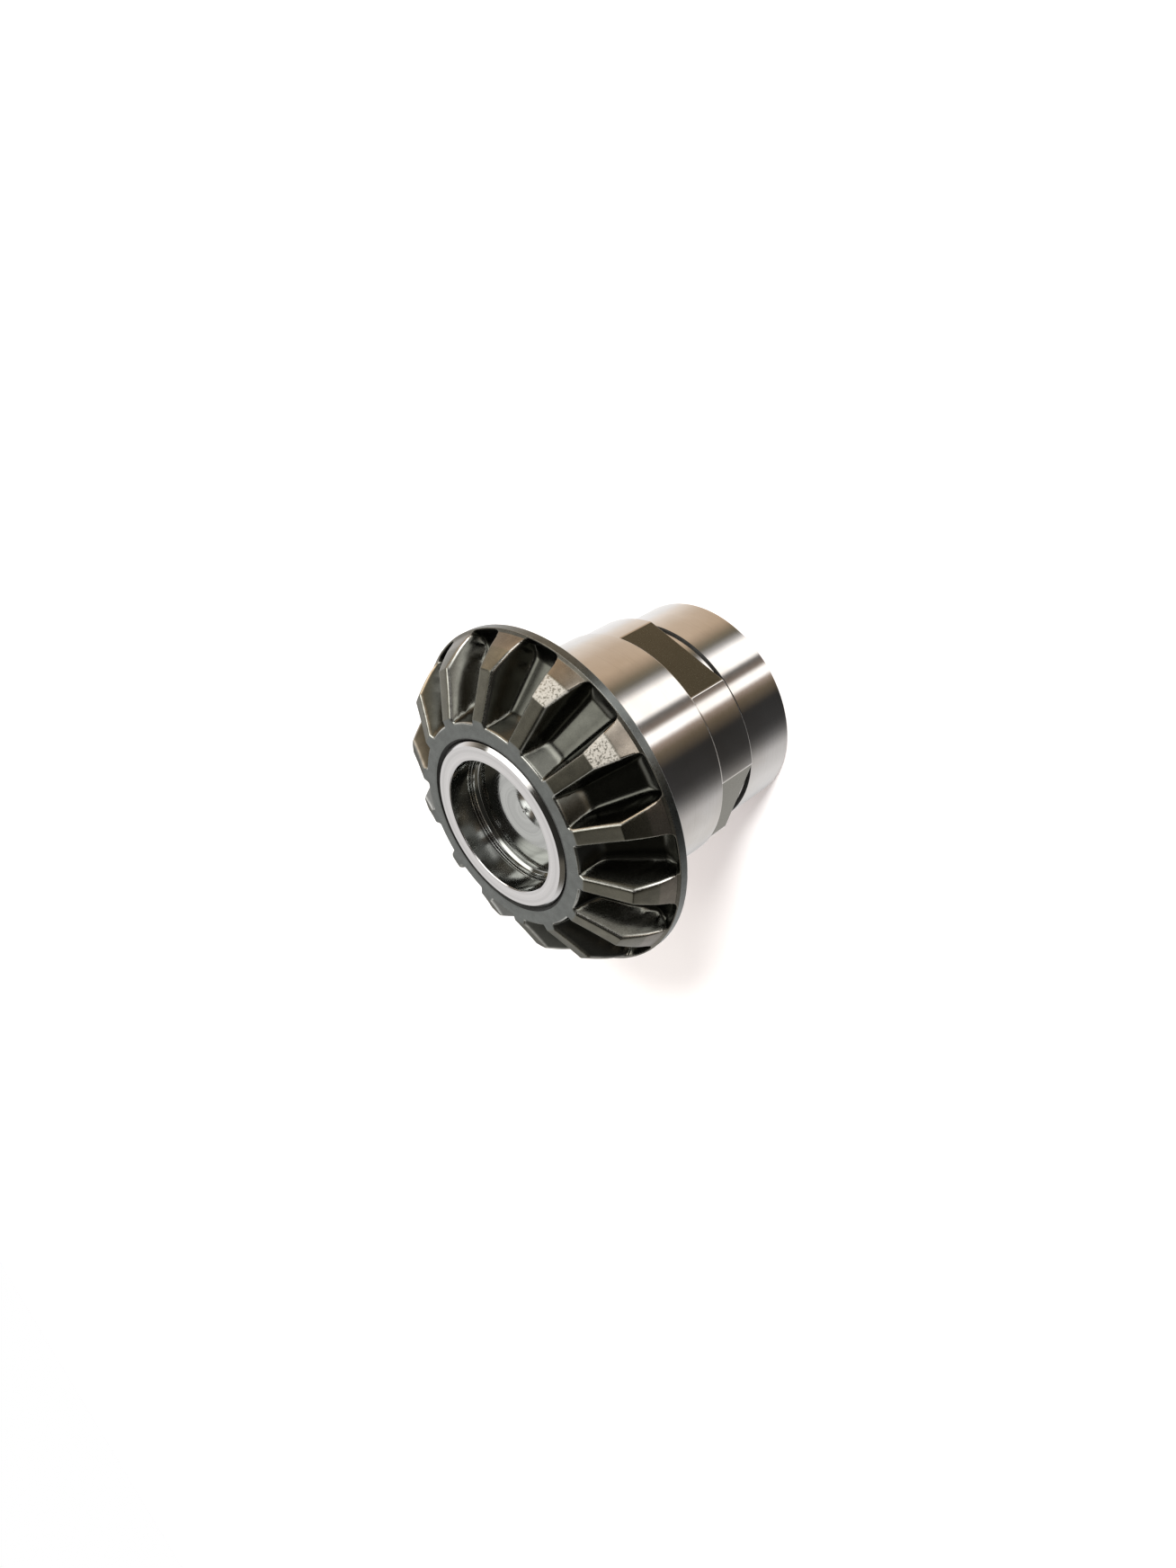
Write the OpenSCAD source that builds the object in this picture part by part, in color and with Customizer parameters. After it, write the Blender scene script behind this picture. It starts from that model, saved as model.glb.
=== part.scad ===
// Half shaft bevel gear: a straight bevel side gear forged in one piece with its hollow hub,
// and the turned cup plug that closes the front end of the splined bore.
// The part stands on its hub end, with its axis along Z and its teeth on top.
// Heights on the hub count from the hub end, and heights on the gear from its thrust face.

/* [Gear blank] */
// Diameter over the rim behind the teeth
rim_d = 80.2; // [80:0.2:84]
// Diameter over the tooth heels, where the rim starts
heel_d = 78.8; // [78.4:0.1:79.2]
// Diameter of the tooth tips at the turned shoulder
shoulder_d = 75.8; // [74:0.1:77.4]
// Diameter of the tooth tips where the face cone ends
crown_d = 70; // [68:0.1:72]
// Outer diameter of the flat front face
face_d = 50.8; // [49.8:0.1:52]
// Height of the front face above the thrust face
gear_h = 18.5; // [18:0.1:19.4]
// Height of the crown above the thrust face
crown_h = 13.9; // [13.3:0.1:14.5]
// Height of the shoulder above the thrust face
shoulder_h = 9.3; // [8:0.1:10.5]
// Height of the heel edge above the thrust face
heel_h = 5.8; // [5.6:0.1:6.6]
// Height of the web that closes the tooth spaces
web_h = 3.6; // [3.3:0.1:4]
// Height of the rim's front edge above the thrust face
rim_h = 5.4; // [4.9:0.1:5.5]
// Width of the round land on the rim
rim_land = 1.9; // [1:0.1:2.3]
// Outer diameter of the flat thrust face
thrust_d = 70; // [66:0.5:72]

/* [Teeth] */
// Number of teeth
tooth_count = 14; // [12:1:16]
// Number of teeth of the pinion that it meets
mate_count = 10; // [9:1:11]
// Distance of the pitch cone's apex in front of the front face
apex_h = 15.5; // [14.5:0.1:16.5]
// Tooth thickness on the pitch cone, at the crown
tooth_t = 6.4; // [5.8:0.1:6.8]
// Pressure angle of the flanks
pressure_angle = 15; // [14:0.5:18]
// Depth of the spaces below the pitch cone, at the crown
dedendum = 3.85; // [3.2:0.05:4.3]
// Fillet radius at the foot of the flanks, at the crown
root_r = 1.7; // [0.8:0.1:2]
// Diameter at which the spaces break out of the front face
toe_d = 48.3; // [47:0.1:49.4]
// Draft of the wall at the toe of each space
toe_draft = 10; // [5:1:14]
// Fillet radius between that wall and the floor of the space
toe_r = 4; // [2:0.1:5]
// Corner radius at the heel of each space
heel_r = 1.7; // [0.6:0.1:1.8]
// Diameter at which the spaces end on the rim
space_d = 79.6; // [79.4:0.1:79.9]
// Slope of the wall that ends each space there, against the axis
heel_slope = 45; // [40:1:50]

/* [Hub] */
// Height of the thrust face above the hub end
hub_h = 48.7; // [44:0.1:56]
// Diameter of the ground journal
journal_d = 56.5; // [56:0.1:58]
// Diameter of the lands below the journal
land_d = 55.5; // [54:0.1:55.8]
// Height of the ring of lands
land_h = 10.6; // [8:0.1:13]
// Number of flats on the ring of lands
flat_count = 4; // [2:1:5]
// Distance across two opposite flats
flats_across = 50.8; // [50.4:0.1:53]
// Angle from a tooth to the middle of a flat
flat_phase = 50.7; // [0:0.1:90]
// Diameter of the end collar
collar_d = 51.4; // [51:0.1:53]
// Height of the end collar
collar_h = 14.2; // [12:0.1:16]
// Width of the groove above the collar
groove_w = 1.7; // [1.2:0.1:2.4]
// Diameter at the bottom of the groove
groove_d = 50.2; // [48:0.1:50.4]
// Width of the undercut in the journal and in the thrust face, where they meet
relief_w = 1.6; // [1:0.1:2.4]
// Depth of that undercut
relief_depth = 0.6; // [0.3:0.1:1]
// Chamfer on the turned edges of the hub
edge_chamfer = 0.6; // [0.2:0.1:0.8]

/* [Splined bore] */
// Number of spline teeth
spline_count = 28; // [24:1:32]
// Diameter at the bottom of the spline spaces
spline_major_d = 35; // [34:0.1:35.6]
// Diameter over the tips of the spline teeth
spline_minor_d = 32; // [31:0.1:33]
// Length of the splines
spline_l = 40; // [30:0.5:42]
// Diameter of the plain lead-in at the hub end
lead_d = 37; // [36:0.1:39]
// Depth of the plain lead-in
lead_h = 8; // [5:0.5:10]
// Chamfer at the mouth of the bore
mouth_chamfer = 1.2; // [0.5:0.1:2]

/* [Cup plug] */
// Outer diameter of the plug
plug_d = 39.6; // [38:0.1:41]
// Length of the plug
plug_l = 11.4; // [10:0.1:13]
// Height of the plug's ring above the front face
plug_stand = 0.4; // [0.2:0.1:1.2]
// Chamfer round the plug's ring, and round its seat in the front face
plug_chamfer = 0.8; // [0.4:0.1:1]
// Inner diameter of the cup
cup_d = 31.2; // [28:0.1:33]
// Depth of the cup
cup_h = 7.6; // [6.5:0.1:8.2]
// Fillet radius at the bottom of the cup
cup_r = 0.8; // [0.3:0.1:1]
// Depth of the cup's wall above its groove
cup_wall_h = 5; // [4:0.1:5.4]
// Width of the groove in the cup's wall
cup_groove_w = 1.1; // [0.6:0.1:1.2]
// Depth of the groove in the cup's wall
cup_groove_depth = 0.7; // [0.3:0.1:1.2]
// Diameter of the turning pip in the middle of the cup
pip_d = 1.6; // [0.8:0.1:2.5]
// Radial clearance of the plug in its seat
plug_gap = 0.05; // [0.02:0.01:0.1]

/* [Hidden] */
$fn = 96;

// How far a cut runs past the surface that it opens
over = 1;
// Straight steps in a fillet, and along an involute
arc_steps = 3;
flank_steps = 4;

// Heights above the hub end
land_z = collar_h + groove_w;
journal_z = land_z + land_h;
front_z = hub_h + gear_h;
crown_z = hub_h + crown_h;
web_z = hub_h + web_h;
apex_z = front_z + apex_h;
seat_z = front_z + plug_stand - plug_l;

// The teeth are laid out on the pitch cone. Sizes across a tooth are given at the crown,
// on a spur gear whose pitch radius is the back cone distance there.
pitch_angle = atan(tooth_count / mate_count);
crown_angle = atan(crown_d / 2 / (apex_z - crown_z));
cone_dist = norm([crown_d / 2, apex_z - crown_z]);
spur_r = cone_dist * tan(pitch_angle);
base_r = spur_r * cos(pressure_angle);
foot_r = spur_r - dedendum;
tip_r = spur_r + cone_dist * (crown_angle - pitch_angle) * PI / 180 + 1.5 * over;
half_pitch = 180 / tooth_count * cos(pitch_angle);

function degrees(radians) = radians * 180 / PI;
function involute(angle) = tan(angle) - angle * PI / 180;

// Half angle of a tooth at a radius of the spur gear
function tooth_half(r) =
    degrees(tooth_t / 2 / spur_r + involute(pressure_angle) - involute(acos(min(1, base_r / r))));

// Half width of a tooth space at a radius of the spur gear
function space_half(r) = r * (half_pitch - tooth_half(r)) * PI / 180;

// One side of a tooth space on the spur gear, as [half width, radius] from the tip to the floor.
// The inset narrows the space and raises its floor.
function space_side(inset) =
    let (
        fillet_r = foot_r + inset + root_r,
        fillet_x = space_half(fillet_r) - inset - root_r
    )
    concat(
        [for (k = [0 : flank_steps - 1])
            let (r = tip_r + (fillet_r - tip_r) * k / flank_steps)
            [space_half(r) - inset, r]],
        [for (k = [0 : arc_steps])
            let (a = 90 * k / arc_steps)
            [fillet_x + root_r * cos(a), fillet_r - root_r * sin(a)]]
    );

// A point of the spur gear, seen along its ray from the apex to a plane below the apex
function ray_point(p, depth) =
    let (
        slope = pitch_angle + degrees((p[1] - spur_r) / cone_dist),
        turn = degrees(p[0] / p[1]) / cos(pitch_angle),
        r = depth * tan(slope)
    )
    [r * cos(turn), r * sin(turn), apex_z - depth];

// Both sides of a tooth space on one plane below the apex
function space_ring(depth, inset) =
    let (
        side = space_side(inset * cone_dist * cos(pitch_angle) / depth),
        count = len(side)
    )
    [for (k = [0 : 2 * count - 1])
        k < count
            ? ray_point([-side[k][0], side[k][1]], depth)
            : ray_point(side[2 * count - 1 - k], depth)];

// One tooth space as straight rays from the toe. Its walls draw in above the web and run on through it.
module space_rays() {
    heel_depth = apex_z - web_z - heel_r;
    draw_angle = 50;
    draw_depth = heel_depth + heel_r * sin(draw_angle);
    draw_inset = heel_r * (1 - cos(draw_angle));
    last_depth = apex_z - web_z + heel_r / 5;
    rings = concat(
        [space_ring(apex_h - over, 0)],
        [for (a = [0, draw_angle / 2, draw_angle])
            space_ring(heel_depth + heel_r * sin(a), heel_r * (1 - cos(a)))],
        [space_ring(last_depth, draw_inset + (last_depth - draw_depth) * tan(draw_angle + 15))]
    );
    count = len(rings[0]);
    last = (len(rings) - 1) * count;
    sides = [for (i = [0 : len(rings) - 2], j = [0 : count - 1], half = [0, 1])
        let (
            a = i * count + j,
            b = i * count + (j + 1) % count
        )
        half == 0 ? [b + count, b, a] : [a + count, b + count, a]];
    polyhedron(
        points = [for (ring = rings, p = ring) p],
        faces = concat([[for (j = [0 : count - 1]) j]], sides, [[for (j = [count - 1 : -1 : 0]) last + j]])
    );
}

// The room that the spaces may take: above the web, inside the sloped wall at their heels, and outside
// the wall at their toes, which bends towards the floor of the spaces and runs on through it
module space_room() {
    floor_angle = pitch_angle - degrees(dedendum / cone_dist);
    // Where the toe wall, run on, meets the floor of the spaces
    drop = (apex_h * tan(floor_angle) - toe_d / 2) / (tan(toe_draft) - tan(floor_angle));
    corner = [toe_d / 2 + drop * tan(toe_draft), front_z - drop];
    tangent = toe_r * tan((floor_angle - toe_draft) / 2);
    centre = corner + tangent * [-sin(toe_draft), cos(toe_draft)] + toe_r * [cos(toe_draft), sin(toe_draft)];
    last_angle = floor_angle - 12;
    bend = [for (k = [0 : arc_steps])
        let (a = 180 + toe_draft + (last_angle - toe_draft) * k / arc_steps)
        centre + toe_r * [cos(a), sin(a)]];
    low_r = bend[arc_steps][0] + (bend[arc_steps][1] - web_z) * tan(last_angle);
    high_z = front_z + 2 * over;
    high_r = toe_d / 2 - 2 * over * tan(toe_draft);
    // The height at which the heel wall comes out of the rim
    end_z = hub_h + heel_h - (heel_h - rim_h) * (space_d - heel_d) / (rim_d - heel_d);
    wall_r = space_d / 2 - (end_z - web_z) * tan(heel_slope);
    rotate_extrude()
        polygon(concat(
            [[high_r, high_z]],
            bend,
            [[low_r, web_z], [wall_r, web_z], [wall_r + (high_z - web_z) * tan(heel_slope), high_z]]
        ));
}

module tooth_spaces() {
    intersection() {
        space_room();
        for (k = [0 : tooth_count - 1])
            rotate([0, 0, (k + 0.5) * 360 / tooth_count])
                space_rays();
    }
}

// The turned outline of the gear and its hub
module blank() {
    c = edge_chamfer;
    rotate_extrude()
        polygon([
            [0, 0],
            [collar_d / 2 - c, 0],
            [collar_d / 2, c],
            [collar_d / 2, collar_h - c / 2],
            [collar_d / 2 - c / 2, collar_h],
            [groove_d / 2, collar_h],
            [groove_d / 2, land_z],
            [land_d / 2, land_z],
            [land_d / 2, journal_z],
            [journal_d / 2, journal_z + (journal_d - land_d) / 2],
            [journal_d / 2, hub_h - relief_w],
            [journal_d / 2 - relief_depth, hub_h - relief_w + relief_depth],
            [journal_d / 2 - relief_depth, hub_h + relief_depth],
            [journal_d / 2 + relief_w - relief_depth, hub_h + relief_depth],
            [journal_d / 2 + relief_w, hub_h],
            [thrust_d / 2, hub_h],
            [rim_d / 2, hub_h + rim_h - rim_land],
            [rim_d / 2, hub_h + rim_h],
            [heel_d / 2, hub_h + heel_h],
            [shoulder_d / 2, hub_h + shoulder_h],
            [crown_d / 2, crown_z],
            [face_d / 2, front_z],
            [0, front_z]
        ]);
}

// Each flat is cut from inside the groove up into the chamfer below the journal
module flats() {
    flat_l = groove_w / 2 + land_h + (journal_d - land_d) / 4;
    for (k = [0 : flat_count - 1])
        rotate([0, 0, flat_phase + k * 360 / flat_count])
            translate([flats_across / 2, -journal_d / 2, land_z - groove_w / 2])
                cube([journal_d / 2, journal_d, flat_l]);
}

module splines() {
    pitch = 360 / spline_count;
    // Half widths of a spline space at its mouth and at its bottom
    mouth = 0.31 * pitch;
    bottom = 0.19 * pitch;
    minor = spline_minor_d / 2;
    major = spline_major_d / 2;
    space = [[minor, -mouth], [major, -bottom], [major, bottom], [minor, mouth]];
    linear_extrude(spline_l + 2 * over)
        polygon([for (k = [0 : spline_count - 1], p = space)
            let (a = k * pitch + p[1])
            [p[0] * cos(a), p[0] * sin(a)]]);
}

module bore() {
    seat_r = plug_d / 2 + plug_gap;
    relief_z = lead_h + spline_l;
    rotate_extrude()
        polygon([
            [0, -over],
            [lead_d / 2 + mouth_chamfer + over, -over],
            [lead_d / 2, mouth_chamfer],
            [lead_d / 2, lead_h],
            [0, lead_h]
        ]);
    translate([0, 0, lead_h - over])
        splines();
    rotate_extrude()
        polygon([
            [0, relief_z],
            [spline_major_d / 2 + edge_chamfer, relief_z],
            [spline_major_d / 2 + edge_chamfer, seat_z],
            [seat_r, seat_z],
            [seat_r, front_z - plug_chamfer],
            [seat_r + plug_chamfer + over, front_z + over],
            [0, front_z + over]
        ]);
}

module bevel_gear() {
    color("dimgray")
        difference() {
            blank();
            tooth_spaces();
            flats();
            bore();
        }
}

module bore_plug() {
    r = plug_d / 2;
    c = plug_chamfer;
    top = front_z + plug_stand;
    cup = cup_d / 2;
    groove_top = top - cup_wall_h;
    bottom = top - cup_h;
    corner = [for (k = [0 : arc_steps])
        let (a = 90 * k / arc_steps)
        [cup - cup_r + cup_r * cos(a), bottom + cup_r - cup_r * sin(a)]];
    color("lightgray")
        rotate_extrude()
            polygon(concat(
                [[0, seat_z], [r - c, seat_z], [r, seat_z + c], [r, top - c], [r - c, top]],
                [[cup + c / 4, top], [cup, top - c / 4], [cup, groove_top]],
                [[cup + cup_groove_depth, groove_top - cup_groove_depth / 4]],
                [[cup + cup_groove_depth, groove_top - cup_groove_w + cup_groove_depth / 4]],
                [[cup, groove_top - cup_groove_w]],
                corner,
                [[pip_d / 2, bottom], [0, bottom - pip_d / 4]]
            ));
}

bevel_gear();
bore_plug();
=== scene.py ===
# The look of the half shaft bevel gear: a finely meshed gear and plug with rounded, worn edges,
# procedural steel finishes, and a plain studio.
import math

import bpy
import numpy as np
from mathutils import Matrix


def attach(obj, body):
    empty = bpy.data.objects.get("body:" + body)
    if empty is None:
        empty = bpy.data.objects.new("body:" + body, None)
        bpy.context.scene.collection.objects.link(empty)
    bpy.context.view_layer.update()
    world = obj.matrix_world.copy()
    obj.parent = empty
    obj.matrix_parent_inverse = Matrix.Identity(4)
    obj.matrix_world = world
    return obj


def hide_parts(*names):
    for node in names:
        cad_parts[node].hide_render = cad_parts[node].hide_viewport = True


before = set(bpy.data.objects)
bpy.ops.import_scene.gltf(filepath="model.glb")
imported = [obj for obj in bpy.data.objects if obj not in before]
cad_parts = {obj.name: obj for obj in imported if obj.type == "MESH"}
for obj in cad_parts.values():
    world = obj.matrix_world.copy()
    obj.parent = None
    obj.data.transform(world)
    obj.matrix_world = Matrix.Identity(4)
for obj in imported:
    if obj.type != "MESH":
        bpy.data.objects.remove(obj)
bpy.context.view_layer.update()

# The head, as in the CAD model: heights in millimetres, and points as (radius, height)
FRONT_Z = 67.2
APEX_Z = 82.7
CROWN = (35.0, 62.6)
SHOULDER = (37.9, 58.0)
HEEL = (39.4, 54.5)
RIM = (40.1, 54.1)
TOP_PROFILE = [(20.65, FRONT_Z), (25.4, FRONT_Z), CROWN, SHOULDER, HEEL, RIM]
TOP_ROUNDING = [0.5, 0.6, 0.5, 0.25]
WEB_Z = 52.3
HEEL_WALL = [(30.0, WEB_Z), (37.83, WEB_Z), (39.8, 54.27), (41.0, 55.47)]
HEEL_WALL_ROUNDING = [1.2, 0]
HEEL_CORNER_R = 1.4
RIM_BACK_Z = 52.2
THRUST_R = 35.0
THRUST_Z = 48.7

# The teeth
TEETH = 14
MATE_TEETH = 10
TOOTH_T = 6.4
PRESSURE = math.radians(15)
DEDENDUM = 3.85
ROOT_R = 1.7
TOE_R = 24.15
TOE_DRAFT = math.radians(10)
EDGE_ROUND = 1.0
TOE_ROUND = 1.1
WEB_ROUND = 1.0

# Teeth with a bright frosted facet, counted round from +X
FROSTED_TEETH = (1, 2)

# The hub
JOURNAL_R = 28.25
JOURNAL_Z = 26.5
LAND_R = 27.75
LAND_Z = 15.9
COLLAR_R = 25.7
COLLAR_H = 14.2
GROOVE_R = 25.1
UNDERCUT = [(29.85, THRUST_Z), (29.25, 49.3), (27.65, 49.3), (27.65, 47.7), (JOURNAL_R, 47.1)]
FLAT_DIST = 25.4
FLATS = 4
FLAT_PHASE = 50.7

# The bore and the plug
SPLINES = 28
SPLINE_MAJOR_R = 17.5
SPLINE_MINOR_R = 16.0
SPLINE_Z = (8.0, 48.0)
LEAD_R = 18.5
RELIEF_R = 18.1
SEAT_R = 19.85
SEAT_Z = 56.2
PLUG_R = 19.8
PLUG_TOP = 67.6
CUP_R = 15.6
CUP_BOTTOM = 60.0
CUP_GROOVE_R = 16.3
CUP_GROOVE_TOP = 62.6
CUP_GROOVE_W = 1.1

# Distances from the apex between which the head's rows of points are spread, and the number in each span
ROW_STARTS = [25.82, 28.2, 29.2, 29.45, 30.15, 34.3, 39.6, 41.1, 44.5, 46.1, 47.7, 48.3, 48.85, 49.12]
ROW_COUNTS = [3, 11, 2, 8, 10, 6, 10, 5, 10, 5, 6, 16, 6]

# Points over half a pitch: on the tooth's top, over its edge, down the flank and on the floor of the space
PITCH_COUNTS = (3, 8, 6, 3)

# Points round the turned parts of the gear and of the plug
GEAR_SIDES = 210
PLUG_SIDES = 256

# Places of the materials on the gear and on the plug
HEAD, GROUND, FLAT, BORE, GAP_SHADE = range(5)
RING, CUP = range(2)


def smooth_max(a, b, k):
    h = np.maximum(k - np.abs(a - b), 0) / k
    return np.maximum(a, b) + h * h * k / 4


def smooth_min(a, b, k):
    return -smooth_max(-a, -b, k)


def rounded(profile, radii, steps=5):
    """A polyline of (radius, height) with an arc in each inner corner, and how far each point is worn."""
    points, worn = [profile[0]], [0.0]
    for before, corner, after, radius in zip(profile, profile[1:], profile[2:], radii):
        c = np.array(corner)
        u = np.array(before) - c
        v = np.array(after) - c
        lu, lv = np.linalg.norm(u), np.linalg.norm(v)
        u, v = u / lu, v / lv
        turn = math.pi - math.acos(max(-1.0, min(1.0, float(u @ v))))
        if radius <= 0 or turn < 0.01:
            points.append(tuple(c))
            worn.append(0.0)
            continue
        tangent = min(radius * math.tan(turn / 2), 0.45 * lu, 0.45 * lv)
        radius = tangent / math.tan(turn / 2)
        bisector = (u + v) / np.linalg.norm(u + v)
        centre = c + bisector * math.hypot(tangent, radius)
        start = c + u * tangent - centre
        end = c + v * tangent - centre
        # Rows just off each end of the arc keep the flat parts flat
        points.append(tuple(c + u * min(tangent * 1.35, 0.48 * lu)))
        worn.append(0.0)
        for k in range(steps + 1):
            t = k / steps
            p = start * math.sin((1 - t) * turn) + end * math.sin(t * turn)
            points.append(tuple(centre + p / math.sin(turn)))
            worn.append(1.0 if 0 < k < steps else 0.4)
        points.append(tuple(c + v * min(tangent * 1.35, 0.48 * lv)))
        worn.append(0.0)
    points.append(profile[-1])
    worn.append(0.0)
    return points, worn


class Skin:
    """A closed skin made of rings of points round the axis, each joined to the last one."""

    def __init__(self):
        self.points, self.faces, self.face_material = [], [], []
        self.values = {"wear": [], "space": [], "zone": [], "frost": []}
        self.first = self.last = None

    def ring(self, angles, radii, heights, material, **values):
        n = len(angles)
        radii = np.broadcast_to(radii, n)
        heights = np.broadcast_to(heights, n)
        base = len(self.points)
        self.points.extend(zip(radii * np.cos(angles), radii * np.sin(angles), heights))
        for name, held in self.values.items():
            held.extend(np.broadcast_to(values.get(name, 0.0), n))
        ring = (np.arange(base, base + n), np.asarray(angles))
        if self.last is not None:
            self.join(self.last, ring, material)
        else:
            self.first = ring
        self.last = ring

    def join(self, a, b, material):
        (ia, ta), (ib, tb) = a, b
        na, nb = len(ia), len(ib)
        before = len(self.faces)
        if na == nb:
            for k in range(na):
                n = (k + 1) % na
                self.faces.append((ia[k], ib[k], ib[n], ia[n]))
        else:
            ta = np.append(ta, ta[0] + 2 * math.pi)
            tb = np.append(tb, tb[0] + 2 * math.pi)
            i = j = 0
            while i < na or j < nb:
                if j == nb or (i < na and ta[i + 1] <= tb[j + 1]):
                    self.faces.append((ia[i], ib[j % nb], ia[(i + 1) % na]))
                    i += 1
                else:
                    self.faces.append((ia[i % na], ib[j], ib[(j + 1) % nb]))
                    j += 1
        self.face_material.extend([material] * (len(self.faces) - before))

    def turned(self, profile, radii, angles, material, skip_first=False, rub=1.0):
        """Rings along a profile with rounded corners, which are worn by the share that rub gives."""
        points, worn = rounded(profile, radii, steps=4)
        for k, ((r, z), w) in enumerate(zip(points, worn)):
            if k or not skip_first:
                self.ring(angles, r, z, material, wear=rub * w)

    def close(self, material):
        """Joins the last ring to the first one."""
        self.join(self.last, self.first, material)

    def fan(self, height, material, start=False):
        """Closes the last ring, or the first one, with a point on the axis."""
        tip = len(self.points)
        self.points.append((0.0, 0.0, height))
        for held in self.values.values():
            held.append(0.0)
        ids = self.first[0] if start else self.last[0]
        for a, b in zip(ids, np.roll(ids, -1)):
            self.faces.append((tip, a, b) if start else (a, tip, b))
            self.face_material.append(material)

    def build(self, name, materials):
        points = [tuple(0.001 * x for x in p) for p in self.points]
        faces = [tuple(map(int, f)) for f in self.faces]
        mesh = bpy.data.meshes.new(name)
        mesh.from_pydata(points, [], faces)
        for m in materials:
            mesh.materials.append(m)
        mesh.polygons.foreach_set("material_index", self.face_material)
        mesh.polygons.foreach_set("use_smooth", [True] * len(faces))
        for held_name, held in self.values.items():
            layer = mesh.attributes.new(held_name, "FLOAT", "POINT")
            layer.data.foreach_set("value", np.array(held, np.float32))
        mesh.update()
        obj = bpy.data.objects.new(name, mesh)
        bpy.context.scene.collection.objects.link(obj)
        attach(obj, "root")
        return obj


def even_angles(n):
    return np.arange(n) * 2 * math.pi / n


# Shader nodes

def shader(name):
    m = bpy.data.materials.new(name)
    m.use_nodes = True
    tree = m.node_tree
    tree.nodes.clear()
    out = tree.nodes.new("ShaderNodeOutputMaterial")
    bsdf = tree.nodes.new("ShaderNodeBsdfPrincipled")
    tree.links.new(bsdf.outputs["BSDF"], out.inputs["Surface"])
    return m, tree, bsdf


def put(tree, kind, inputs=(), **settings):
    """A new node, with sockets or plain values on its inputs."""
    n = tree.nodes.new(kind)
    for key, value in settings.items():
        setattr(n, key, value)
    for key, value in dict(inputs).items():
        socket = n.inputs[key]
        if isinstance(value, bpy.types.NodeSocket):
            tree.links.new(value, socket)
        else:
            socket.default_value = value
    return n


def math_node(tree, operation, a, b=0.0, clamp=False):
    return put(tree, "ShaderNodeMath", {0: a, 1: b}, operation=operation, use_clamp=clamp).outputs[0]


def mix_colour(tree, factor, a, b):
    n = put(tree, "ShaderNodeMix", data_type="RGBA")
    for key, value in ((0, factor), (6, a), (7, b)):
        if isinstance(value, bpy.types.NodeSocket):
            tree.links.new(value, n.inputs[key])
        elif key:
            n.inputs[key].default_value = (*value, 1)
        else:
            n.inputs[key].default_value = value
    return n.outputs[2]


def attribute(tree, name):
    return put(tree, "ShaderNodeAttribute", attribute_name=name).outputs["Fac"]


def object_point(tree):
    return put(tree, "ShaderNodeTexCoord").outputs["Object"]


def noise(tree, point, scale, detail=3.0, roughness=0.55):
    inputs = {"Vector": point, "Scale": scale, "Detail": detail, "Roughness": roughness}
    return put(tree, "ShaderNodeTexNoise", inputs).outputs["Fac"]


def lines(tree, value, scale, detail=2.0):
    """Fine irregular lines along which the value stays the same."""
    inputs = {"W": value, "Scale": scale, "Detail": detail}
    return put(tree, "ShaderNodeTexNoise", inputs, noise_dimensions="1D").outputs["Fac"]


def remap(tree, value, low, high, to_low=0.0, to_high=1.0, kind="LINEAR"):
    inputs = {"Value": value, "From Min": low, "From Max": high, "To Min": to_low, "To Max": to_high}
    return put(tree, "ShaderNodeMapRange", inputs, interpolation_type=kind).outputs["Result"]


def ramp(tree, value, stops):
    n = put(tree, "ShaderNodeValToRGB", {"Fac": value})
    held = n.color_ramp.elements
    while len(held) < len(stops):
        held.new(1.0)
    for element, (place, colour) in zip(held, stops):
        element.position = place
        element.color = (*colour, 1)
    return n.outputs["Color"]


def radius_of(tree, point):
    inputs = {0: point, 1: (1, 1, 0)}
    flat = put(tree, "ShaderNodeVectorMath", inputs, operation="MULTIPLY").outputs["Vector"]
    return put(tree, "ShaderNodeVectorMath", {0: flat}, operation="LENGTH").outputs["Value"]


def height_of(tree, point):
    return put(tree, "ShaderNodeSeparateXYZ", {0: point}).outputs["Z"]


def bumped(tree, bsdf, height, strength, distance):
    n = put(tree, "ShaderNodeBump", {"Height": height, "Strength": strength, "Distance": distance})
    tree.links.new(n.outputs["Normal"], bsdf.inputs["Normal"])


def stretched_gloss(tree, bsdf, amount):
    """Stretches the gloss across marks that run round the axis."""
    bsdf.inputs["Anisotropic"].default_value = amount
    bsdf.inputs["Anisotropic Rotation"].default_value = 0.25
    tangent = put(tree, "ShaderNodeTangent", direction_type="RADIAL", axis="Z").outputs["Tangent"]
    tree.links.new(tangent, bsdf.inputs["Tangent"])


# Finishes

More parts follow.
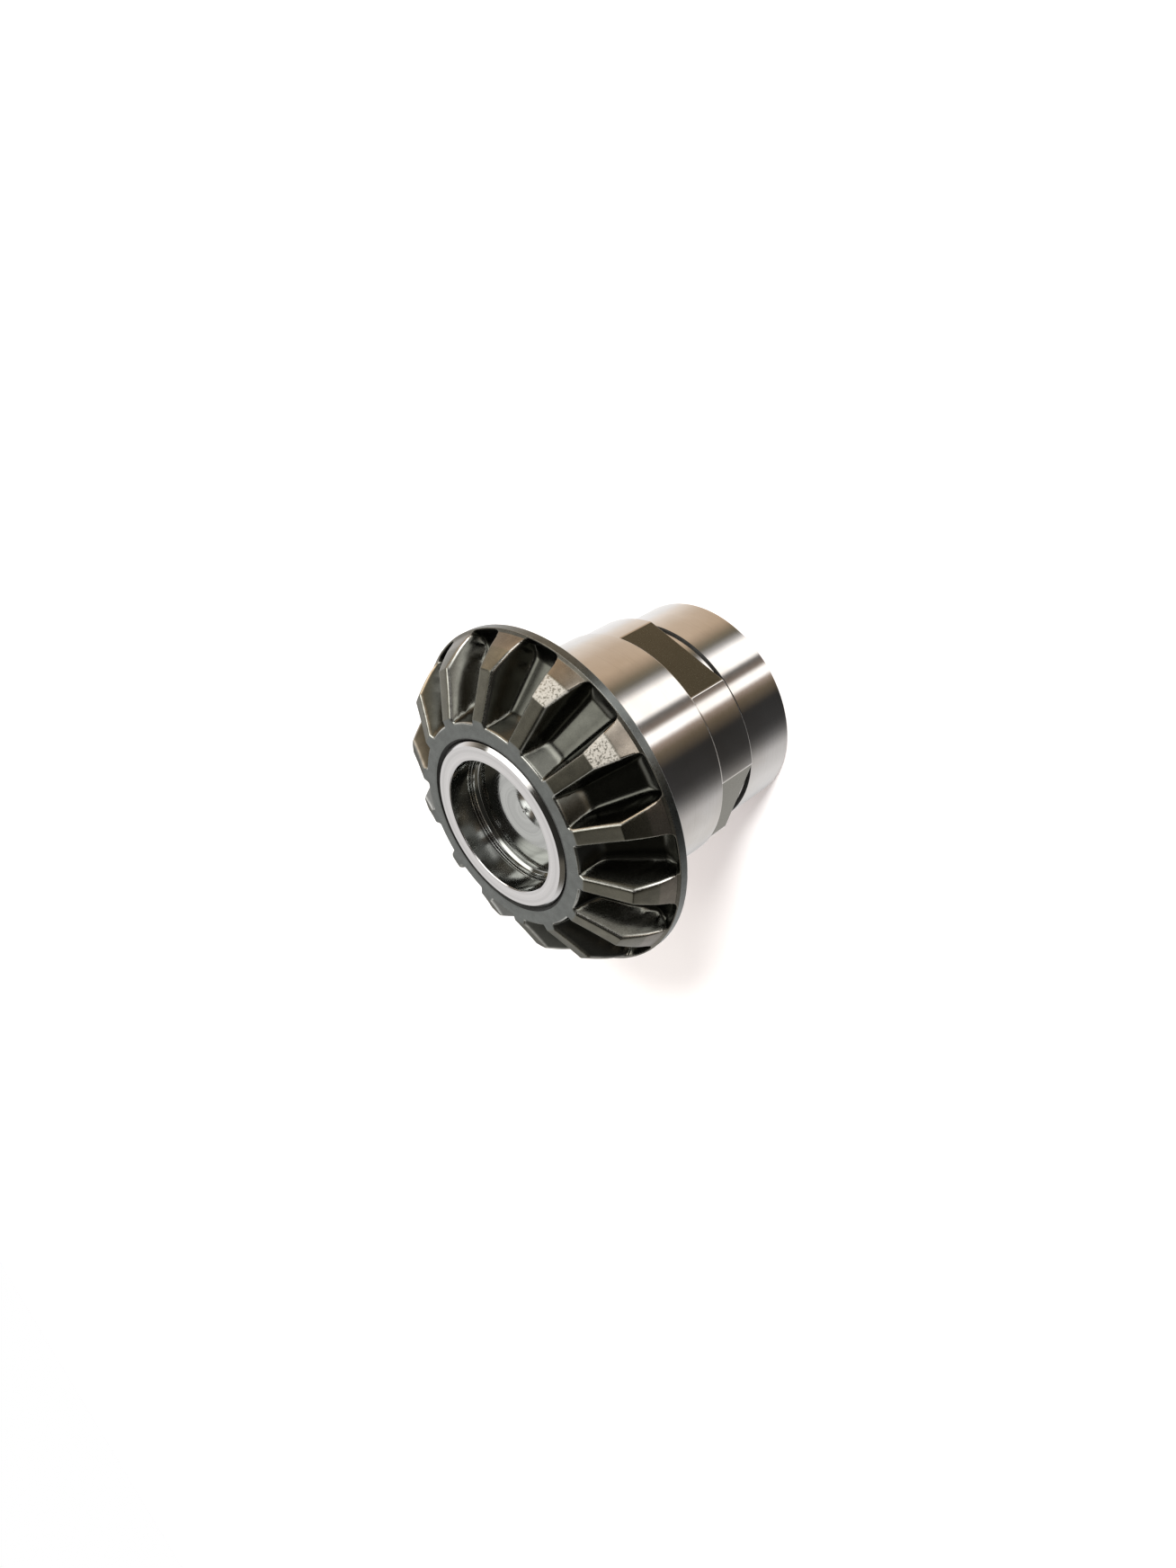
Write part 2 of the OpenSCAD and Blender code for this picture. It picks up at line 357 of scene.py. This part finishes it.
def phosphated():
    """Dark phosphated forging. Its tint changes over the turned facets, its edges are worn bright, and its
    tooth spaces are painted darker as shade.
    """
    m, tree, bsdf = shader("phosphated_steel")
    point = object_point(tree)
    zone = attribute(tree, "zone")
    space = attribute(tree, "space")
    tint = ramp(tree, zone, [
        (0.0, (0.150, 0.158, 0.150)),
        (0.2, (0.150, 0.142, 0.112)),
        (0.45, (0.150, 0.140, 0.110)),
        (0.7, (0.200, 0.175, 0.145)),
        (0.95, (0.190, 0.178, 0.150)),
    ])
    # Painted shade: the tooth spaces are painted darker than the teeth
    base = mix_colour(tree, space, tint, (0.095, 0.095, 0.082))
    mottle = noise(tree, point, 420.0, 5.0, 0.65)
    fine = noise(tree, point, 3200.0, 3.0)
    dark = mix_colour(tree, remap(tree, mottle, 0.35, 0.68), (0.035, 0.034, 0.030), base)
    base = mix_colour(tree, 0.7, dark, base)
    patchy = remap(tree, mottle, 0.3, 0.6, 0.5, 1.0)
    worn = math_node(tree, "MULTIPLY", attribute(tree, "wear"), patchy, True)
    base = mix_colour(tree, worn, base, (0.68, 0.67, 0.63))
    speckle = remap(tree, noise(tree, point, 2300.0, 3.0), 0.40, 0.50, 0.35, 1.0)
    frost = math_node(tree, "MULTIPLY", attribute(tree, "frost"), speckle, True)
    base = mix_colour(tree, frost, base, (0.28, 0.265, 0.235))
    tree.links.new(base, bsdf.inputs["Base Color"])
    rough = remap(tree, fine, 0.3, 0.7, 0.26, 0.34)
    rough = math_node(tree, "SUBTRACT", rough, math_node(tree, "MULTIPLY", space, 0.07))
    rough = math_node(tree, "SUBTRACT", rough, math_node(tree, "MULTIPLY", worn, 0.08))
    tree.links.new(rough, bsdf.inputs["Roughness"])
    tree.links.new(remap(tree, frost, 0.0, 1.0, 1.0, 0.1), bsdf.inputs["Metallic"])
    turned = lines(tree, radius_of(tree, point), 5200.0)
    height = math_node(tree, "ADD", math_node(tree, "MULTIPLY", turned, 0.35), fine)
    bumped(tree, bsdf, height, 0.12, 0.00002)
    return m


def ground():
    """Bright ground steel with fine grinding lines round it."""
    m, tree, bsdf = shader("ground_steel")
    point = object_point(tree)
    grain = lines(tree, height_of(tree, point), 9000.0, 4.0)
    cloud = noise(tree, point, 60.0, 3.0)
    base = mix_colour(tree, remap(tree, cloud, 0.35, 0.65), (0.57, 0.53, 0.49), (0.66, 0.63, 0.61))
    base = mix_colour(tree, remap(tree, grain, 0.55, 0.75, 0.0, 0.35), base, (0.40, 0.37, 0.34))
    tree.links.new(base, bsdf.inputs["Base Color"])
    tree.links.new(remap(tree, grain, 0.25, 0.75, 0.08, 0.16), bsdf.inputs["Roughness"])
    bsdf.inputs["Metallic"].default_value = 1.0
    stretched_gloss(tree, bsdf, 0.5)
    bumped(tree, bsdf, grain, 0.12, 0.00002)
    return m


def milled():
    """Darker milled steel."""
    m, tree, bsdf = shader("milled_steel")
    point = object_point(tree)
    cloud = noise(tree, point, 90.0, 3.0)
    fine = noise(tree, point, 2400.0, 3.0)
    base = mix_colour(tree, remap(tree, cloud, 0.35, 0.65), (0.136, 0.125, 0.094), (0.151, 0.139, 0.106))
    tree.links.new(base, bsdf.inputs["Base Color"])
    tree.links.new(remap(tree, fine, 0.3, 0.7, 0.22, 0.28), bsdf.inputs["Roughness"])
    bsdf.inputs["Metallic"].default_value = 1.0
    bumped(tree, bsdf, fine, 0.03, 0.00002)
    return m


def as_forged(name, colour, rough):
    """Dark, patchy steel that was left unfinished. Made near-black, it also serves as painted shade in the
    gaps.
    """
    m, tree, bsdf = shader(name)
    point = object_point(tree)
    patch = noise(tree, point, 260.0, 5.0, 0.6)
    fine = noise(tree, point, 2600.0, 3.0)
    darker = tuple(0.45 * c for c in colour)
    base = mix_colour(tree, remap(tree, patch, 0.32, 0.66), darker, colour)
    tree.links.new(base, bsdf.inputs["Base Color"])
    tree.links.new(remap(tree, fine, 0.3, 0.7, rough - 0.08, rough + 0.1), bsdf.inputs["Roughness"])
    bsdf.inputs["Metallic"].default_value = 0.75
    bumped(tree, bsdf, math_node(tree, "ADD", fine, patch), 0.4, 0.00004)
    return m


def turned_bright(name, shade, rough):
    """Bright turned steel with concentric tool marks."""
    m, tree, bsdf = shader(name)
    point = object_point(tree)
    rings = lines(tree, radius_of(tree, point), 3600.0, 3.0)
    coarse = lines(tree, radius_of(tree, point), 700.0, 2.0)
    darker = tuple(0.84 * c for c in shade)
    base = mix_colour(tree, remap(tree, coarse, 0.35, 0.65), darker, shade)
    tree.links.new(base, bsdf.inputs["Base Color"])
    tree.links.new(remap(tree, rings, 0.25, 0.75, rough, rough + 0.09), bsdf.inputs["Roughness"])
    bsdf.inputs["Metallic"].default_value = 1.0
    stretched_gloss(tree, bsdf, 0.45)
    bumped(tree, bsdf, math_node(tree, "ADD", rings, coarse), 0.18, 0.00002)
    return m


# The gear

def from_apex(points):
    """Distances from the apex, and slopes from the axis, of points given as (radius, height)."""
    r, z = np.array(points).T
    return np.hypot(r, APEX_Z - z), np.arctan2(r, APEX_Z - z)


def involute(angle):
    return np.tan(angle) - angle


def tooth_flank():
    """The slope of a flank from the apex at each angle from the middle of its tooth, in radians."""
    pitch = math.atan(TEETH / MATE_TEETH)
    cone = math.hypot(CROWN[0], APEX_Z - CROWN[1])
    spur = cone * math.tan(pitch)
    base = spur * math.cos(PRESSURE)
    half_pitch = math.pi / TEETH * math.cos(pitch)
    fillet_r = spur - DEDENDUM + ROOT_R
    r = np.linspace(spur + 7, fillet_r, 60)
    half = TOOTH_T / 2 / spur + involute(PRESSURE) - involute(np.arccos(np.minimum(1, base / r)))
    side = list(zip(r * (half_pitch - half), r))
    x = side[-1][0] - ROOT_R
    for a in np.linspace(0, math.pi / 2, 16)[1:]:
        side.append((x + ROOT_R * math.cos(a), fillet_r - ROOT_R * math.sin(a)))
    side = np.array(side)
    angle = math.pi / TEETH - side[:, 0] / side[:, 1] / math.cos(pitch)
    slope = pitch + (side[:, 1] - spur) / cone
    return angle, slope


def toe_wall():
    """Distances from the apex and slopes of the drafted wall that closes the spaces at the toe."""
    slope = np.linspace(0.3, 1.2, 400)
    draft = math.tan(TOE_DRAFT)
    depth = (TOE_R - (APEX_Z - FRONT_Z) * draft) / (np.tan(slope) - draft)
    kept = depth > 0
    return (depth / np.cos(slope))[kept], slope[kept]


def head_rows():
    """Distances from the apex at which the toothed face has a row of points, closer where it bends."""
    spans = zip(ROW_STARTS, ROW_STARTS[1:], ROW_COUNTS)
    rows = [np.linspace(a, b, n, endpoint=False) for a, b, n in spans]
    return np.concatenate(rows + [[ROW_STARTS[-1]]])


def add_head(skin):
    """The front face, the teeth with their spaces, and the front of the rim."""
    flank_angle, flank_slope = tooth_flank()
    floor_angle = flank_angle[-1]
    top_dist, top_slope = from_apex(rounded(TOP_PROFILE, TOP_ROUNDING, 8)[0])
    heel_dist, heel_slope = from_apex(rounded(HEEL_WALL, HEEL_WALL_ROUNDING, 6)[0])
    toe_dist, toe_slope = toe_wall()
    crown_dist, shoulder_dist = from_apex([CROWN, SHOULDER])[0]
    half_pitch = math.pi / TEETH
    for dist in head_rows():
        slope = np.interp(dist, top_dist, top_slope)
        edge = np.interp(-slope, -flank_slope, flank_angle)
        reach = 0.46 / dist
        stops = [0, edge - reach, edge + reach, max(floor_angle, edge + reach + 0.012), half_pitch]
        spans = zip(stops, stops[1:], PITCH_COUNTS)
        half = np.concatenate([np.linspace(a, b, n, endpoint=False) for a, b, n in spans])
        one = np.concatenate([half, [half_pitch], 2 * half_pitch - half[:0:-1]])
        angles = np.concatenate([one + k * 2 * half_pitch for k in range(TEETH)])
        inward = np.tile(np.minimum(one, 2 * half_pitch - one), TEETH)
        # The heel wall comes nearer at the flanks, which rounds the corners of the space there
        gap = np.clip((inward - edge) * dist * math.sin(slope), 0, HEEL_CORNER_R)
        nearer = HEEL_CORNER_R - np.sqrt(HEEL_CORNER_R ** 2 - (HEEL_CORNER_R - gap) ** 2)
        web = np.interp(dist + nearer, heel_dist, heel_slope) * dist
        toe = np.interp(-dist, -toe_dist, toe_slope) * dist
        space = np.interp(inward, flank_angle, flank_slope) * dist
        space = smooth_max(space, toe, TOE_ROUND)
        space = smooth_max(space, web, WEB_ROUND)
        level = slope * dist
        surface = smooth_min(np.full_like(space, level), space, EDGE_ROUND) / dist
        # Where the shader paints shade into the spaces, the worn edges, the tint of each facet and the
        # frosted facets
        # How far below the tooth's top a point lies, which is the mask of the painted shade in the spaces
        space_shade = np.clip((level - surface * dist - 0.12) / 0.5, 0, 1)
        rub = np.clip(1 - np.abs(level - space) / 0.6, 0, 1) * np.interp(dist, [47.4, 48.5], [0.8, 0.2])
        zone = np.interp(dist, [29.5, 29.9, 40.1, 40.5, 45.1, 45.5, 48.3, 48.6],
                         [0, 0.2, 0.2, 0.45, 0.45, 0.7, 0.7, 0.95])
        tooth = np.round(angles / (2 * half_pitch)).astype(int) % TEETH
        lit = np.clip((dist - crown_dist + 0.25) / 0.3, 0, 1) * np.clip((shoulder_dist - dist) / 0.3, 0, 1)
        frost = np.isin(tooth, FROSTED_TEETH) * (1 - space_shade) * lit
        radii = dist * np.sin(surface)
        heights = APEX_Z - dist * np.cos(surface)
        skin.ring(angles, radii, heights, HEAD, wear=rub, space=space_shade, zone=zone, frost=frost)


def add_back(skin, around):
    """The rim, the back of the flange, the thrust face, the undercut and the journal."""
    back = [(39.99, 54.163), RIM, (RIM[0], RIM_BACK_Z), (THRUST_R, THRUST_Z), *UNDERCUT]
    skin.turned(back, [0.1, 0.3, 0.3, 0.15, 0.2, 0.2, 0.2], around, HEAD, skip_first=True, rub=0.25)
    for z in np.linspace(47.0, JOURNAL_Z + 0.62, 12):
        skin.ring(around, JOURNAL_R, z, GROUND)


def flat_angles():
    """Angles round the lands, closer at the flats' ends, and the distance from the axis to a flat there."""
    half = math.degrees(math.acos(FLAT_DIST / LAND_R))
    end = np.array([-0.6, -0.3, -0.12, 0.05, 0.25, 0.6])
    part = np.concatenate([
        np.linspace(-45, -half - 1.2, 12), -half + end, np.linspace(-half + 1.4, half - 1.4, 26),
        half - end[::-1], np.linspace(half + 1.2, 45, 12)[:-1]])
    reach = FLAT_DIST / np.cos(np.radians(part))
    angles = np.concatenate([part + FLAT_PHASE + k * 360 / FLATS for k in range(FLATS)]) % 360
    reach = np.tile(reach, FLATS)
    order = np.argsort(angles)
    return np.radians(angles[order]), reach[order]


def add_lands(skin):
    """The chamfer below the journal, and the lands with their flats."""
    angles, reach = flat_angles()
    share = np.clip((LAND_R - reach) / 0.25, 0, 1)
    on_flat = share > 0.3
    flat_faces = np.flatnonzero(on_flat & np.roll(on_flat, -1))
    edge_z = JOURNAL_Z + 0.5
    skin.ring(angles, JOURNAL_R, edge_z + 0.06, GROUND)
    skin.ring(angles, JOURNAL_R - 0.06, edge_z - 0.06, GROUND)
    skin.ring(angles, JOURNAL_R - 0.25, edge_z - 0.25, GROUND)
    # Radius and height of each row on a land, then its step off the plane and its height on a flat
    rows = [
        (27.8, 26.56, 0.12, 26.72),
        (LAND_R, 26.4, 0.0, 26.6),
        (LAND_R, 26.1, 0.0, 26.1),
        (LAND_R, 21.0, 0.0, 21.0),
        (LAND_R, 16.3, 0.0, 16.3),
        (LAND_R, 16.1, 0.0, 16.1),
        (LAND_R - 0.05, 15.98, -0.05, 15.98),
        (LAND_R - 0.12, LAND_Z, -0.12, LAND_Z),
    ]
    for land_r, land_z, step, flat_z in rows:
        start = len(skin.faces)
        radii = smooth_min(np.full_like(reach, land_r), reach + step, 0.06)
        skin.ring(angles, radii, land_z + (flat_z - land_z) * share, GROUND)
        for f in flat_faces:
            skin.face_material[start + f] = FLAT


def add_hub_end(skin, around):
    """The groove, the end collar, the hub end and the plain lead-in of the bore."""
    tail = [
        (LAND_R - 0.12, LAND_Z), (GROOVE_R, LAND_Z), (GROOVE_R, COLLAR_H),
        (COLLAR_R - 0.3, COLLAR_H), (COLLAR_R, COLLAR_H - 0.3), (COLLAR_R, 0.6), (COLLAR_R - 0.6, 0.0),
        (LEAD_R + 1.2, 0.0), (LEAD_R, 1.2), (LEAD_R, SPLINE_Z[0]), (SPLINE_MAJOR_R + 0.5, SPLINE_Z[0]),
    ]
    start = len(skin.faces)
    rounding = [0.1, 0.1, 0.05, 0.05, 0.15, 0.15, 0.15, 0.15, 0.2]
    skin.turned(tail, rounding, around, GROUND, skip_first=True)
    # Painted shade: the collar's edge at the groove gets the near-black seat material, standing in for the
    # shade in the groove
    for f in range(start, len(skin.faces)):
        heights = [skin.points[i][2] for i in skin.faces[f]]
        if COLLAR_H - 0.35 < min(heights) and max(heights) < COLLAR_H + 0.12:
            skin.face_material[f] = GAP_SHADE


def spline_ring():
    """Angles round the splined bore, and how deep the gap between two splines is there, from 0 to 1."""
    pitch = 360 / SPLINES
    side = np.array([0.14, 0.19, 0.22, 0.27, 0.31, 0.34, 0.42])
    part = np.concatenate([[-0.5], -side[::-1], [0], side])
    deep = np.interp(np.abs(part), [0.19, 0.31], [1, 0])
    angles = np.concatenate([part * pitch + (k + 0.5) * pitch for k in range(SPLINES)])
    return np.radians(angles), np.tile(deep, SPLINES)


def add_splines(skin):
    angles, deep = spline_ring()
    low, high = SPLINE_Z
    tips = SPLINE_MINOR_R + (SPLINE_MAJOR_R - SPLINE_MINOR_R) * deep
    chamfer = np.maximum(tips, SPLINE_MAJOR_R - 0.5)
    skin.ring(angles, SPLINE_MAJOR_R + 0.3, low, BORE)
    skin.ring(angles, chamfer, low + 0.3, BORE)
    skin.ring(angles, tips, low + 1.2, BORE)
    for z in np.linspace(low + 1.5, high - 0.8, 8):
        skin.ring(angles, tips, z, BORE)
    skin.ring(angles, chamfer, high - 0.15, BORE)
    skin.ring(angles, SPLINE_MAJOR_R + 0.3, high, BORE)


def add_seat(skin, around):
    """The relief behind the splines, and the seat of the plug up to the front face."""
    high = SPLINE_Z[1]
    seat = [
        (SPLINE_MAJOR_R + 0.4, high), (RELIEF_R, high), (RELIEF_R, SEAT_Z), (SEAT_R, SEAT_Z),
        (SEAT_R, FRONT_Z - 0.8), (SEAT_R + 0.65, FRONT_Z - 0.15), (SEAT_R + 0.77, FRONT_Z - 0.03),
    ]
    # The seat's near-black material is painted shade for the gap round the plug
    skin.turned(seat, [0.1, 0.2, 0.15, 0.15, 0.1], around, GAP_SHADE)


def build_gear():
    skin = Skin()
    around = even_angles(GEAR_SIDES)
    add_head(skin)
    add_back(skin, around)
    add_lands(skin)
    add_hub_end(skin, around)
    add_splines(skin)
    add_seat(skin, around)
    skin.close(HEAD)
    bore = as_forged("bore_steel", (0.20, 0.19, 0.175), 0.38)
    # Near-black steel: painted shade for the gap round the plug and for the groove at the collar
    seat = as_forged("gap_shade_steel", (0.03, 0.03, 0.028), 0.5)
    gear = skin.build("gear_body", [phosphated(), ground(), milled(), bore, seat])
    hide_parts("bevel_gear")


# The plug

def build_plug():
    skin = Skin()
    around = even_angles(PLUG_SIDES)
    top = PLUG_TOP
    groove_low = CUP_GROOVE_TOP - CUP_GROOVE_W
    outline = [
        (0.8, CUP_BOTTOM), (CUP_R - 0.8, CUP_BOTTOM), (CUP_R, CUP_BOTTOM + 0.8),
        (CUP_R, groove_low), (CUP_GROOVE_R, groove_low + 0.17),
        (CUP_GROOVE_R, CUP_GROOVE_TOP - 0.18), (CUP_R, CUP_GROOVE_TOP),
        (CUP_R, top - 0.2), (CUP_R + 0.2, top), (PLUG_R - 0.8, top), (PLUG_R, top - 0.8),
        (PLUG_R, SEAT_Z + 0.8), (PLUG_R - 0.8, SEAT_Z), (1.0, SEAT_Z),
    ]
    rounding = [0.6, 0.6, 0.12, 0.2, 0.2, 0.12, 0.1, 0.1, 0.1, 0.1, 0.3, 0.3]
    # The pip in the middle of the cup, then the outline from the cup's bottom to the seat
    skin.ring(around, 0.12, CUP_BOTTOM - 0.36, RING)
    skin.ring(around, 0.45, CUP_BOTTOM - 0.16, RING)
    skin.turned(outline, rounding, around, RING)
    for f, ids in enumerate(skin.faces):
        corners = [skin.points[i] for i in ids]
        within = all(math.hypot(x, y) < CUP_GROOVE_R + 0.05 for x, y, z in corners)
        if within and all(CUP_BOTTOM - 1 < z < top - 0.25 for x, y, z in corners):
            skin.face_material[f] = CUP
    skin.fan(SEAT_Z, RING)
    skin.fan(CUP_BOTTOM - 0.4, CUP, start=True)
    ring = turned_bright("turned_steel", (0.62, 0.605, 0.60), 0.08)
    cup = turned_bright("bored_steel", (0.44, 0.445, 0.43), 0.04)
    plug = skin.build("cup_plug", [ring, cup])
    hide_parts("bore_plug")


# The studio

def build_floor():
    s = 6.0
    mesh = bpy.data.meshes.new("floor")
    mesh.from_pydata([(-s, -s, 0), (s, -s, 0), (s, s, 0), (-s, s, 0)], [], [(0, 1, 2, 3)])
    floor = bpy.data.objects.new("floor", mesh)
    bpy.context.scene.collection.objects.link(floor)
    m, _, bsdf = shader("pale_floor")
    bsdf.inputs["Base Color"].default_value = (0.86, 0.85, 0.845, 1)
    bsdf.inputs["Roughness"].default_value = 0.9
    mesh.materials.append(m)
    floor.visible_glossy = False
    floor.visible_shadow = False


def toward(azimuth, elevation):
    a, e = math.radians(azimuth), math.radians(elevation)
    return (math.cos(a) * math.cos(e), math.sin(a) * math.cos(e), math.sin(e))


def soft_sun(name, azimuth, elevation, strength, angle, colour):
    """A sun for the floor and the dull parts, which the steel doesn't reflect."""
    data = bpy.data.lights.new(name, "SUN")
    data.energy = strength
    data.angle = math.radians(angle)
    data.color = colour
    light = bpy.data.objects.new(name, data)
    bpy.context.scene.collection.objects.link(light)
    light.rotation_euler = (0, math.radians(90 - elevation), math.radians(azimuth))
    light.visible_glossy = False
    return light


def facing(tree, way, azimuth, elevation, start, end):
    """1 where a direction lies near the given one, with a soft edge. Start and end are cosines."""
    inputs = {0: way, 1: toward(azimuth, elevation)}
    near = put(tree, "ShaderNodeVectorMath", inputs, operation="DOT_PRODUCT").outputs["Value"]
    return remap(tree, near, start, end, kind="SMOOTHSTEP")


def grey(v):
    return (v, v, v)


# Cards round the horizon, which the hub reflects: azimuth in degrees, and colour
LOW_CARDS = [
    (-180, grey(1.08)), (-166, grey(0.85)), (-150, grey(0.6)), (-136, grey(0.64)), (-120, grey(0.85)),
    (-100, grey(0.93)), (-68, grey(0.7)), (-57, grey(0.36)), (-50, grey(0.18)), (-42, grey(0.085)),
    (-35, grey(0.055)), (-10, grey(0.04)), (4, (0.2, 0.16, 0.11)), (12, (0.5, 0.4, 0.34)),
    (15, grey(2.0)), (22.5, grey(2.0)), (26, (0.3, 0.24, 0.2)), (35, grey(0.15)), (39, grey(2.0)),
    (58, grey(2.0)), (65, grey(0.62)), (71, (0.2, 0.19, 0.155)), (77, (0.28, 0.235, 0.165)),
    (85, (0.55, 0.43, 0.31)), (94, (0.76, 0.6, 0.44)), (120, (0.8, 0.65, 0.5)),
    (145, (1.05, 0.95, 0.85)), (160, grey(1.1)), (180, grey(1.08)),
]

# Cards overhead, each laid over the last: azimuth, elevation, cosines of its soft edge, and colour
HIGH_CARDS = [
    (203, 34, 0.58, 0.82, (1.03, 1.02, 1.01)),
    (23, 34, 0.6, 0.95, (0.06, 0.056, 0.05)),
    (-25, 50, 0.809, 0.9135, (0.03, 0.03, 0.026)),
    (85, 50, 0.90, 0.978, (2.6, 2.6, 2.5)),
    (112, 36, 0.966, 0.99, (2.6, 2.6, 2.5)),
]


def build_studio():
    """A room of soft cards that the steel reflects, and soft suns for the floor and its shadow."""
    world = bpy.data.worlds.new("studio")
    world.use_nodes = True
    tree = world.node_tree
    way = put(tree, "ShaderNodeTexCoord").outputs["Generated"]
    xyz = put(tree, "ShaderNodeSeparateXYZ", {0: way}).outputs
    turn = remap(tree, math_node(tree, "ARCTAN2", xyz["Y"], xyz["X"]), -math.pi, math.pi)
    low = ramp(tree, turn, [((azimuth + 180) / 360, colour) for azimuth, colour in LOW_CARDS])
    # A brighter strip along the near horizon, for the heel facets, and a dark card at the far side
    strip = remap(tree, xyz["Z"], -0.12, -0.02, 0.0, 2.0, "SMOOTHSTEP")
    strip = math_node(tree, "MULTIPLY", strip, facing(tree, way, 45, 5, -0.17, 0.5))
    strip = math_node(tree, "ADD", strip, 1.0)
    low = put(tree, "ShaderNodeVectorMath", {0: low, "Scale": strip}, operation="SCALE").outputs["Vector"]
    low = mix_colour(tree, facing(tree, way, 204, -8, 0.88, 0.96), low, (0.3, 0.3, 0.28))
    high = (0.14, 0.13, 0.105)
    for azimuth, elevation, start, end, colour in HIGH_CARDS:
        high = mix_colour(tree, facing(tree, way, azimuth, elevation, start, end), high, colour)
    cards = mix_colour(tree, remap(tree, xyz["Z"], 0.14, 0.44, kind="SMOOTHSTEP"), low, high)
    # The room itself stays plain and pale behind the part: only the steel and the floor see the cards
    seen = put(tree, "ShaderNodeLightPath").outputs["Is Camera Ray"]
    room = mix_colour(tree, seen, cards, (1.0, 1.0, 1.0))
    tree.links.new(room, tree.nodes["Background"].inputs["Color"])
    bpy.context.scene.world = world
    soft_sun("key", 50, 32, 4.5, 14, (1.0, 1.0, 0.99))
    fill = soft_sun("fill", 250, 75, 1.25, 40, (1.0, 0.88, 0.87))
    fill.data.use_shadow = False
    bpy.context.scene.view_settings.view_transform = "Standard"


def build_camera():
    """The photo's viewing angle, as fitted to the circles and edges of the part."""
    data = bpy.data.cameras.new("camera")
    data.sensor_width = 36
    data.lens = 27.04
    data.clip_start = 0.01
    camera = bpy.data.objects.new("camera", data)
    bpy.context.scene.collection.objects.link(camera)
    camera.location = (0.20255, 0.08499, 0.19042)
    camera.rotation_euler = [math.radians(a) for a in (-37.8016, 44.8540, -24.3839)]
    bpy.context.scene.camera = camera


build_gear()
build_plug()
build_floor()
build_studio()
build_camera()
